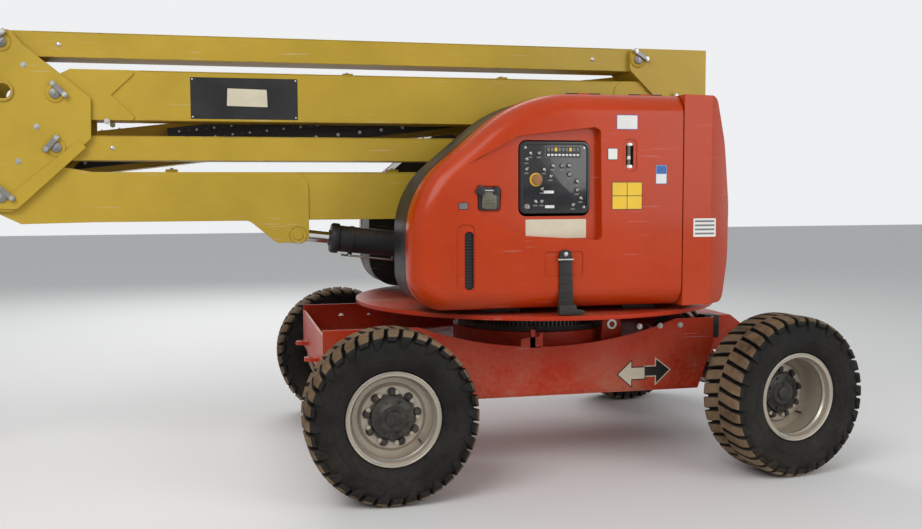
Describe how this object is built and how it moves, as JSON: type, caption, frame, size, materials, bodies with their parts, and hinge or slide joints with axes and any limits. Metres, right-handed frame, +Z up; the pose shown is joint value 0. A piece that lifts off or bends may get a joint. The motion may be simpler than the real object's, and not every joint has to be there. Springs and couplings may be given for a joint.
{
  "type": "articulating boom lift",
  "caption": "Stowed four-wheeled articulating boom lift: turntable with hoods, folded parallelogram tower, telescoping boom, jib and railed platform.",
  "frame": {"origin": "ground level under the middle of the stowed machine's bounding box", "axes": "+X from the platform towards the steered axle, +Z up, -Y the side in the picture"},
  "size_m": [6.443, 2.4464, 2.2695],
  "materials": {
    "orange_paint": "gloss",
    "cream_paint": "satin",
    "orange_steel": "satin",
    "black_paint": "satin",
    "grey_paint": "satin",
    "tyre_rubber": "matte",
    "chrome_rod": "polished",
    "cast_engine": "rough",
    "black_plastic": "satin"
  },
  "bodies": {
    "chassis": {"chassis_frame": "orange_paint", "slew_bearing": "black_paint", "axle_fixed": "black_paint", "axle_steer": "black_paint"},
    "wheel_fixed_near": {"tyre_fixed_near": "tyre_rubber", "rim_fixed_near": "grey_paint"},
    "wheel_fixed_far": {"tyre_fixed_far": "tyre_rubber", "rim_fixed_far": "grey_paint"},
    "knuckle_near": {"knuckle_near": "black_paint"},
    "knuckle_far": {"knuckle_far": "black_paint"},
    "wheel_steer_near": {"tyre_steer_near": "tyre_rubber", "rim_steer_near": "grey_paint"},
    "wheel_steer_far": {"tyre_steer_far": "tyre_rubber", "rim_steer_far": "grey_paint"},
    "turntable": {"turntable": "orange_paint", "counterweight": "orange_paint", "hood_frame_near": "black_paint", "hood_frame_far": "black_paint", "engine": "cast_engine", "hydraulic_tank": "black_plastic", "fuel_tank": "black_plastic", "ground_controls": "black_plastic"},
    "hood_near": {"hood_near": "orange_paint"},
    "hood_far": {"hood_far": "orange_paint"},
    "lower_boom": {"lower_boom": "cream_paint"},
    "lower_link": {"lower_link": "cream_paint"},
    "lower_upright": {"lower_upright": "cream_paint"},
    "mid_boom": {"mid_boom": "cream_paint"},
    "mid_link": {"mid_link": "cream_paint"},
    "upper_upright": {"upper_upright": "cream_paint"},
    "lower_lift_barrel": {"lower_lift_barrel": "black_paint"},
    "lower_lift_rod": {"lower_lift_rod": "chrome_rod"},
    "main_boom": {"main_boom": "cream_paint", "cable_carrier": "black_plastic", "wear_pads": "black_plastic"},
    "fly_boom": {"fly_boom": "grey_paint"},
    "main_lift_barrel": {"main_lift_barrel": "black_paint"},
    "main_lift_rod": {"main_lift_rod": "chrome_rod"},
    "level_bracket": {"level_bracket": "orange_steel"},
    "jib": {"jib": "orange_steel"},
    "jib_link": {"jib_link": "orange_steel"},
    "jib_lift_barrel": {"jib_lift_barrel": "black_paint"},
    "jib_lift_rod": {"jib_lift_rod": "chrome_rod"},
    "platform_support": {"platform_support": "cream_paint"},
    "platform": {"platform_rails": "orange_steel", "platform_floor": "orange_steel", "platform_console": "black_plastic"},
    "gate": {"platform_gate": "orange_steel"}
  },
  "joints": [
    {"name": "wheel_fixed_near", "type": "hinge", "parent": "chassis", "child": "wheel_fixed_near", "pos_m": [0.709, -1.0165, 0.4155], "axis": [0, 1, 0], "continuous": true},
    {"name": "wheel_fixed_far", "type": "hinge", "parent": "chassis", "child": "wheel_fixed_far", "pos_m": [0.709, 1.0165, 0.4155], "axis": [0, 1, 0], "continuous": true},
    {"name": "steer_near", "type": "hinge", "parent": "chassis", "child": "knuckle_near", "pos_m": [2.759, -0.8165, 0.4155], "axis": [0, 0, 1], "range_deg": [-41.7, 22.3]},
    {"name": "wheel_steer_near", "type": "hinge", "parent": "knuckle_near", "child": "wheel_steer_near", "pos_m": [2.7927, -1.01364, 0.4155], "axis": [-0.1685, 0.9857, 0], "continuous": true},
    {"name": "steer_far", "type": "hinge", "parent": "chassis", "child": "knuckle_far", "pos_m": [2.759, 0.8165, 0.4155], "axis": [0, 0, 1], "range_deg": [-41.7, 22.3]},
    {"name": "wheel_steer_far", "type": "hinge", "parent": "knuckle_far", "child": "wheel_steer_far", "pos_m": [2.7253, 1.01364, 0.4155], "axis": [-0.1685, 0.9857, 0], "continuous": true},
    {"name": "swing", "type": "hinge", "parent": "chassis", "child": "turntable", "pos_m": [1.734, 0, 0.86], "axis": [0, 0, 1], "range_deg": [-177.5, 177.5]},
    {"name": "hood_near", "type": "hinge", "parent": "turntable", "child": "hood_near", "pos_m": [1.734, -0.8, 1.967], "axis": [-1, 0, 0], "range_deg": [0, 50]},
    {"name": "hood_far", "type": "hinge", "parent": "turntable", "child": "hood_far", "pos_m": [1.734, 0.8, 1.967], "axis": [1, 0, 0], "range_deg": [0, 50]},
    {"name": "tower_lift", "type": "hinge", "parent": "turntable", "child": "lower_boom", "pos_m": [2.001, -0.22, 1.453], "axis": [0, 1, 0], "range_deg": [0, 70]},
    {"name": "lower_link_turn", "type": "hinge", "parent": "turntable", "child": "lower_link", "pos_m": [2.26, -0.22, 1.698], "axis": [0, 1, 0], "range_deg": [0, 70]},
    {"name": "lower_upright_level", "type": "hinge", "parent": "lower_boom", "child": "lower_upright", "pos_m": [-1.099, -0.22, 1.453], "axis": [0, 1, 0], "range_deg": [-70, 0]},
    {"name": "mid_boom_lift", "type": "hinge", "parent": "lower_upright", "child": "mid_boom", "pos_m": [-0.84, -0.22, 1.963], "axis": [0, 1, 0], "range_deg": [-70, 0]},
    {"name": "mid_link_turn", "type": "hinge", "parent": "lower_upright", "child": "mid_link", "pos_m": [-1.078, -0.22, 2.207], "axis": [0, 1, 0], "range_deg": [-70, 0]},
    {"name": "upper_upright_level", "type": "hinge", "parent": "mid_boom", "child": "upper_upright", "pos_m": [2.476, -0.22, 1.963], "axis": [0, 1, 0], "range_deg": [0, 70]},
    {"name": "lower_lift_barrel_turn", "type": "hinge", "parent": "turntable", "child": "lower_lift_barrel", "pos_m": [1.709, -0.22, 1.09], "axis": [0, 1, 0], "range_deg": [0, 69.23]},
    {"name": "lower_lift_rod_slide", "type": "slide", "parent": "lower_lift_barrel", "child": "lower_lift_rod", "axis": [-0.9934, 0, 0.1146], "range_m": [0, 0.53407]},
    {"name": "main_lift", "type": "hinge", "parent": "upper_upright", "child": "main_boom", "pos_m": [2.509, 0.1, 2.07], "axis": [0, 1, 0], "range_deg": [0, 80]},
    {"name": "main_lift_barrel_turn", "type": "hinge", "parent": "upper_upright", "child": "main_lift_barrel", "pos_m": [2.354, 0.1, 1.64], "axis": [0, 1, 0], "range_deg": [0, 68.87]},
    {"name": "main_lift_rod_slide", "type": "slide", "parent": "main_lift_barrel", "child": "main_lift_rod", "axis": [-0.9884, 0, 0.1516], "range_m": [0, 0.54221]},
    {"name": "telescope", "type": "slide", "parent": "main_boom", "child": "fly_boom", "axis": [-0.993, 0, -0.1184], "range_m": [0, 2]},
    {"name": "bracket_level", "type": "hinge", "parent": "fly_boom", "child": "level_bracket", "pos_m": [-1.45492, 0.1, 1.59733], "axis": [0, 1, 0], "range_deg": [-80, 0]},
    {"name": "jib_lift", "type": "hinge", "parent": "level_bracket", "child": "jib", "pos_m": [-1.55492, 0.1, 1.50233], "axis": [0, 1, 0], "range_deg": [-2, 142]},
    {"name": "jib_link_turn", "type": "hinge", "parent": "level_bracket", "child": "jib_link", "pos_m": [-1.50086, 0.1, 1.75665], "axis": [0, 1, 0], "range_deg": [-12, 152]},
    {"name": "jib_lift_barrel_turn", "type": "hinge", "parent": "level_bracket", "child": "jib_lift_barrel", "pos_m": [-1.56992, 0.139, 1.36233], "axis": [0, 1, 0], "range_deg": [-2.04, 145.09]},
    {"name": "jib_lift_rod_slide", "type": "slide", "parent": "jib_lift_barrel", "child": "jib_lift_rod", "axis": [-0.2953, 0, -0.9554], "range_m": [-0.00379, 0.2618]},
    {"name": "platform_level", "type": "hinge", "parent": "jib", "child": "platform_support", "pos_m": [-2.21202, 0.1, 0.45075], "axis": [0, 1, 0], "range_deg": [-152, 12]},
    {"name": "platform_turn", "type": "hinge", "parent": "platform_support", "child": "platform", "pos_m": [-2.33202, 0.1, 0.6], "axis": [0, 0, 1], "range_deg": [-90, 90]},
    {"name": "gate", "type": "hinge", "parent": "platform", "child": "gate", "pos_m": [-2.66302, -0.796, 0.9], "axis": [0, 0, 1], "range_deg": [-75, 0]}
  ],
  "couplings": [
    {"joint": "steer_far", "follows": "steer_near", "ratio": 1},
    {"joint": "lower_link_turn", "follows": "tower_lift", "ratio": 1},
    {"joint": "lower_upright_level", "follows": "tower_lift", "ratio": -1},
    {"joint": "mid_boom_lift", "follows": "tower_lift", "ratio": -1},
    {"joint": "mid_link_turn", "follows": "tower_lift", "ratio": -1},
    {"joint": "upper_upright_level", "follows": "tower_lift", "ratio": 1},
    {"joint": "lower_lift_barrel_turn", "follows": "tower_lift", "ratio": 0.98897},
    {"joint": "lower_lift_rod_slide", "follows": "tower_lift", "m_per_rad": 0.43706},
    {"joint": "main_lift_barrel_turn", "follows": "main_lift", "ratio": 0.86088},
    {"joint": "main_lift_rod_slide", "follows": "main_lift", "m_per_rad": 0.38826},
    {"joint": "bracket_level", "follows": "main_lift", "ratio": -1},
    {"joint": "jib_link_turn", "follows": "jib_lift", "ratio": 1},
    {"joint": "jib_lift_barrel_turn", "follows": "jib_lift", "ratio": 1.0217},
    {"joint": "jib_lift_rod_slide", "follows": "jib_lift", "m_per_rad": 0.10559},
    {"joint": "platform_level", "follows": "jib_lift", "ratio": -1}
  ]
}
